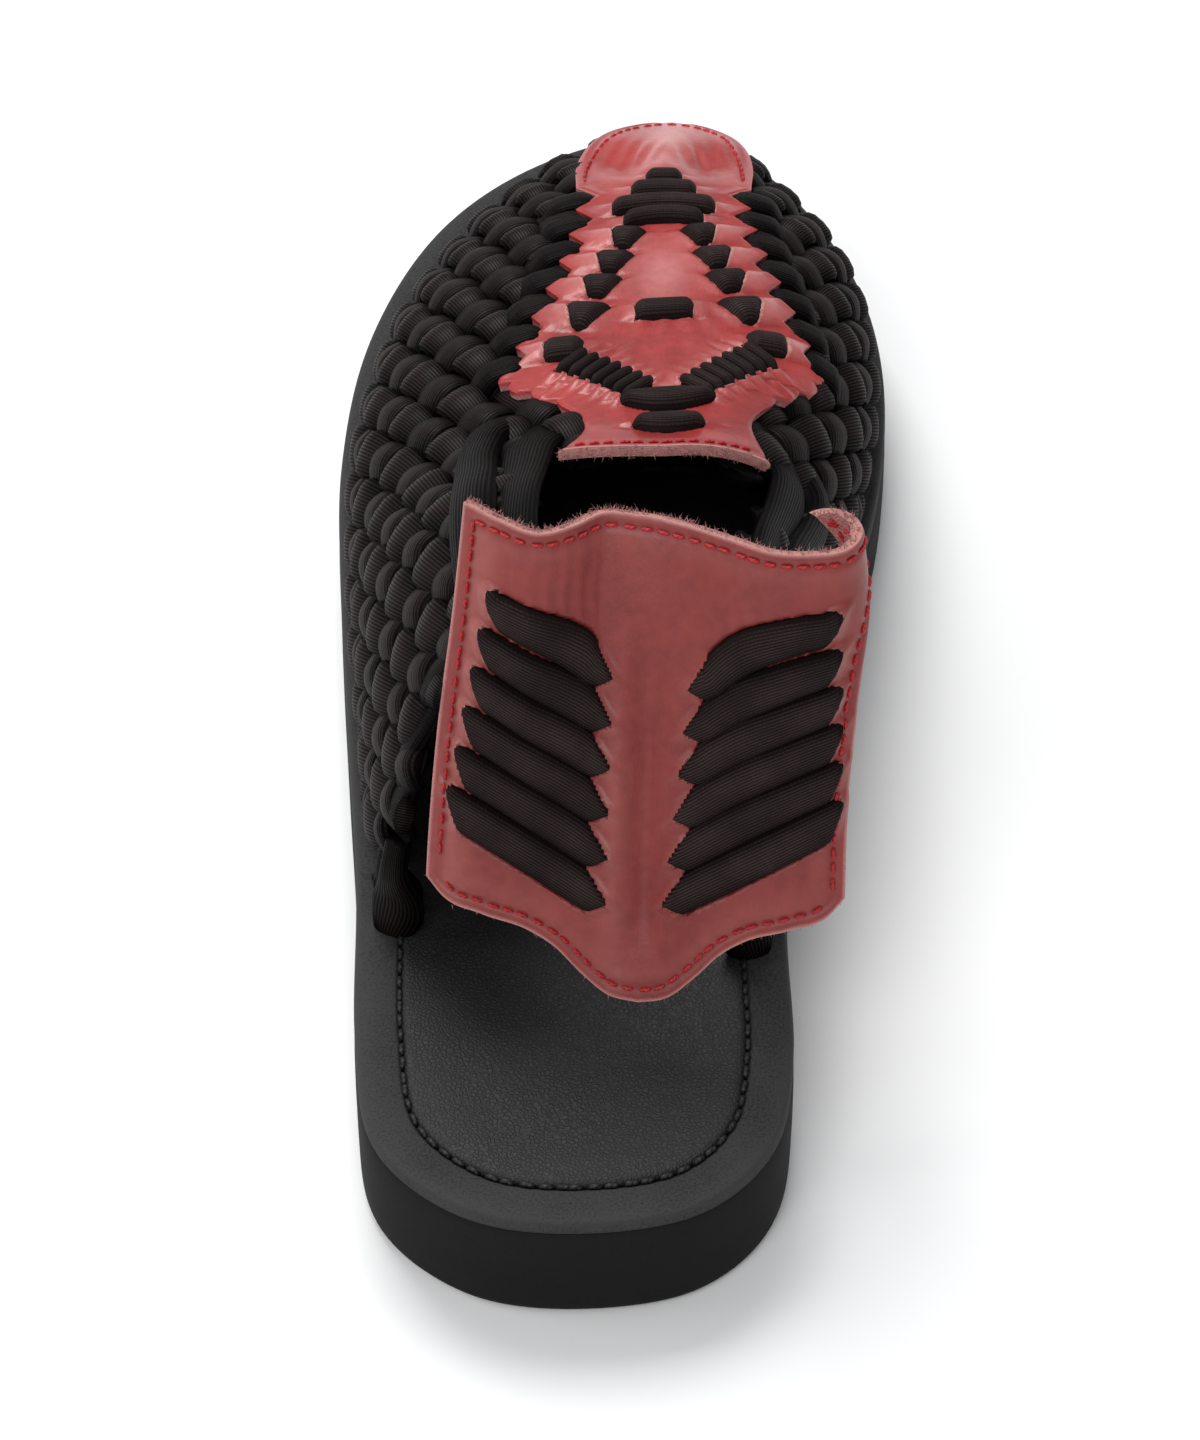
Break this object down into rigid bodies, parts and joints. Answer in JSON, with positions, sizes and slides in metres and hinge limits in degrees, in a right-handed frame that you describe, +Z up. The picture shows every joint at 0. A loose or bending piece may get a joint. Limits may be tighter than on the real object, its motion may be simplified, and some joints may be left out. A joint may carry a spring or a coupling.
{
  "type": "woven sandal",
  "caption": "Left woven sandal: plaited black cord upper, red leather vamp laced with cord, red leather heel strap, foam sole with a leather insole.",
  "frame": {"origin": "middle of the shoe's box, on the floor under its sole", "axes": "+Y from heel to toe, +X to the inner side of the foot, +Z up"},
  "size_m": [0.1056, 0.284, 0.1125],
  "materials": {
    "outsole_foam": "matt foam",
    "midsole_foam": "matt, fine grain",
    "insole_leather": "fine grain",
    "vamp_leather": "smooth, waxed",
    "strap_leather": "smooth, satin",
    "cord": "ribbed nylon cord"
  },
  "bodies": {
    "root": {"anchor_cord_front_inner": "cord", "anchor_cord_front_outer": "cord", "anchor_cord_rear_inner": "cord", "anchor_cord_rear_outer": "cord", "heel_strap": "strap_leather", "insole": "insole_leather", "midsole": "midsole_foam", "outsole": "outsole_foam", "strap_bar_1_inner": "cord", "strap_bar_1_outer": "cord", "strap_bar_2_inner": "cord", "strap_bar_2_outer": "cord", "strap_bar_3_inner": "cord", "strap_bar_3_outer": "cord", "strap_bar_4_inner": "cord", "strap_bar_4_outer": "cord", "strap_bar_5_inner": "cord", "strap_bar_5_outer": "cord", "strap_bar_6_inner": "cord", "strap_bar_6_outer": "cord", "upper_weave": "cord", "vamp": "vamp_leather", "vamp_bar_chevron_1_inner": "cord", "vamp_bar_chevron_1_outer": "cord", "vamp_bar_chevron_2_inner": "cord", "vamp_bar_chevron_2_outer": "cord", "vamp_bar_chevron_3_inner": "cord", "vamp_bar_chevron_3_outer": "cord", "vamp_bar_corner_inner": "cord", "vamp_bar_corner_outer": "cord", "vamp_bar_lens_1": "cord", "vamp_bar_lens_2": "cord", "vamp_bar_middle": "cord", "vamp_bar_side_1_inner": "cord", "vamp_bar_side_1_outer": "cord", "vamp_bar_side_2_inner": "cord", "vamp_bar_side_2_outer": "cord", "vamp_bar_side_3_inner": "cord", "vamp_bar_side_3_outer": "cord", "vamp_bar_side_4_inner": "cord", "vamp_bar_side_4_outer": "cord", "vamp_bar_toe_1": "cord", "vamp_bar_toe_2": "cord", "vamp_bar_toe_3": "cord", "vamp_bar_toe_4": "cord"}
  },
  "joints": []
}
